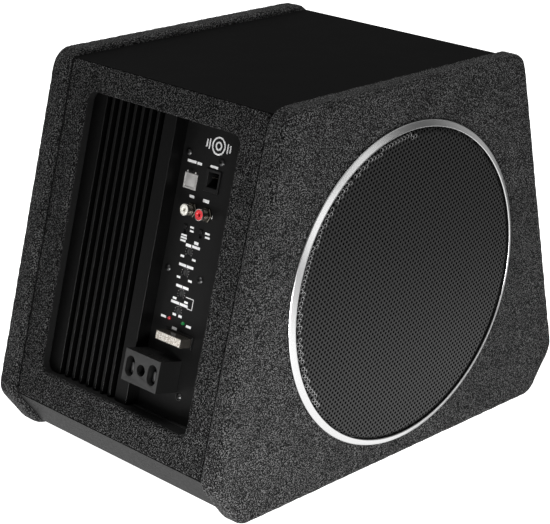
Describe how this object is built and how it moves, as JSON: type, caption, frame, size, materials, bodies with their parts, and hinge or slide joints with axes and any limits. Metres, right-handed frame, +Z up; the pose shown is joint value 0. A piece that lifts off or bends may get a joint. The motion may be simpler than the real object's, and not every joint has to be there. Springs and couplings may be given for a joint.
{
  "type": "powered car subwoofer",
  "caption": "Trapezoid boxed car bass speaker with a round flush grille in front and an amplifier with heatsink, sockets, trimmers, fuse and power terminals in a recess at one side.",
  "frame": {"origin": "on the floor, below the middle of the whole object's box", "axes": "+Z up; the grille faces -Y; the amplifier recess faces -X; +X is the plain side"},
  "size_m": [0.424, 0.2742, 0.3255],
  "materials": {
    "carpet": "charcoal heather non-woven carpet over board",
    "smooth_black": "smooth near-black laminate",
    "vinyl": "smooth dark grey vinyl wrap",
    "bare_board": "bare fibreboard",
    "wadding": "polyester wadding",
    "silver_ring": "satin silver bevel",
    "black_mesh": "black coated perforated steel",
    "basket_steel": "black coated pressed steel",
    "rubber": "moulded black rubber",
    "cone_paper": "black coated pulp cone",
    "spider_cloth": "resin treated corrugated cloth",
    "copper": "enamelled copper winding",
    "plated_steel": "zinc plated steel",
    "ferrite": "dark ferrite",
    "black_aluminium": "black anodised extrusion",
    "panel_steel": "fine black powder coat",
    "circuit_board": "green solder mask",
    "capacitor_sleeve": "shrunk black sleeve",
    "black_plastic": "moulded black plastic",
    "grey_plastic": "moulded dark grey plastic",
    "white_plastic": "moulded white nylon",
    "red_plastic": "moulded red plastic",
    "nickel": "nickel plate",
    "red_lens": "red tinted lens",
    "green_lens": "green tinted lens",
    "fuse_body": "milky grey fuse body"
  },
  "bodies": {
    "cabinet": {"amp_backboard": "bare_board", "amp_capacitor": "capacitor_sleeve", "amp_circuit_board": "circuit_board", "amp_control_panel": "panel_steel", "amp_heatsink": "black_aluminium", "amp_side_panel": "carpet", "amp_transformer": "copper", "amp_tray": "plated_steel", "auto_on_switch_body": "plated_steel", "bottom_panel": "vinyl", "damping_wadding": "wadding", "front_baffle": "carpet", "fuse_holder": "black_plastic", "grille_mesh": "black_mesh", "grille_ring": "silver_ring", "high_level_socket": "white_plastic", "left_chamfer_panel": "vinyl", "panel_screw_bottom_front": "panel_steel", "panel_screw_bottom_rear": "panel_steel", "panel_screw_middle_front": "panel_steel", "panel_screw_middle_rear": "panel_steel", "panel_screw_top_front": "panel_steel", "panel_screw_top_rear": "panel_steel", "phase_switch_body": "plated_steel", "plain_side_panel": "carpet", "power_lamp": "green_lens", "power_terminal_block": "grey_plastic", "protect_lamp": "red_lens", "rca_left_insulator": "white_plastic", "rca_left_shell": "nickel", "rca_right_insulator": "red_plastic", "rca_right_shell": "nickel", "rear_panel": "carpet", "remote_socket": "black_plastic", "right_chamfer_panel": "vinyl", "speaker_lead_negative": "rubber", "speaker_lead_positive": "rubber", "top_panel": "smooth_black", "woofer_basket": "basket_steel", "woofer_gasket": "rubber", "woofer_magnet": "ferrite", "woofer_mounting_board": "bare_board", "woofer_spider": "spider_cloth", "woofer_surround": "rubber", "woofer_terminals": "grey_plastic", "woofer_top_plate": "plated_steel", "woofer_yoke": "plated_steel"},
    "cone_assembly": {"woofer_cone": "cone_paper", "woofer_dust_cap": "cone_paper", "woofer_voice_coil": "copper"},
    "phase_switch": {"phase_switch_knob": "grey_plastic"},
    "auto_on_switch": {"auto_on_switch_knob": "grey_plastic"},
    "level_control": {"level_knob": "black_plastic"},
    "low_pass_control": {"low_pass_knob": "black_plastic"},
    "bass_boost_control": {"bass_boost_knob": "black_plastic"},
    "subsonic_control": {"subsonic_knob": "black_plastic"},
    "fuse_body": {"fuse": "fuse_body"},
    "terminal_screw_a": {"terminal_screw_1": "nickel"},
    "terminal_screw_b": {"terminal_screw_2": "nickel"},
    "terminal_screw_c": {"terminal_screw_3": "nickel"}
  },
  "joints": [
    {"name": "cone_travel", "type": "slide", "parent": "cabinet", "child": "cone_assembly", "axis": [0, -1, 0], "range_m": [-0.008, 0.008], "stiffness_N_per_m": 4000, "deforming": ["woofer_surround", "woofer_spider"]},
    {"name": "phase_slide", "type": "slide", "parent": "cabinet", "child": "phase_switch", "axis": [-0.24, 0, -0.9708], "range_m": [0, 0.0035]},
    {"name": "auto_on_slide", "type": "slide", "parent": "cabinet", "child": "auto_on_switch", "axis": [-0.24, 0, -0.9708], "range_m": [0, 0.0035]},
    {"name": "level_turn", "type": "hinge", "parent": "cabinet", "child": "level_control", "pos_m": [-0.14643, -0.0317, 0.19167], "axis": [-0.9708, 0, 0.24], "range_deg": [-140, 140]},
    {"name": "low_pass_turn", "type": "hinge", "parent": "cabinet", "child": "low_pass_control", "pos_m": [-0.15055, -0.0317, 0.17497], "axis": [-0.9708, 0, 0.24], "range_deg": [-140, 140]},
    {"name": "bass_boost_turn", "type": "hinge", "parent": "cabinet", "child": "bass_boost_control", "pos_m": [-0.15473, -0.0317, 0.15808], "axis": [-0.9708, 0, 0.24], "range_deg": [-140, 140]},
    {"name": "subsonic_turn", "type": "hinge", "parent": "cabinet", "child": "subsonic_control", "pos_m": [-0.15811, -0.0317, 0.14439], "axis": [-0.9708, 0, 0.24], "range_deg": [-140, 140]},
    {"name": "fuse_pull", "type": "slide", "parent": "cabinet", "child": "fuse_body", "axis": [-0.9708, 0, 0.24], "range_m": [0, 0.02]},
    {"name": "terminal_screw_a_turn", "type": "hinge", "parent": "cabinet", "child": "terminal_screw_a", "pos_m": [-0.18189, -0.0129, 0.11071], "axis": [0.24, 0, 0.9708], "range_deg": [0, 1080]},
    {"name": "terminal_screw_b_turn", "type": "hinge", "parent": "cabinet", "child": "terminal_screw_b", "pos_m": [-0.18189, -0.0259, 0.11071], "axis": [0.24, 0, 0.9708], "range_deg": [0, 1080]},
    {"name": "terminal_screw_c_turn", "type": "hinge", "parent": "cabinet", "child": "terminal_screw_c", "pos_m": [-0.18189, -0.0389, 0.11071], "axis": [0.24, 0, 0.9708], "range_deg": [0, 1080]}
  ]
}
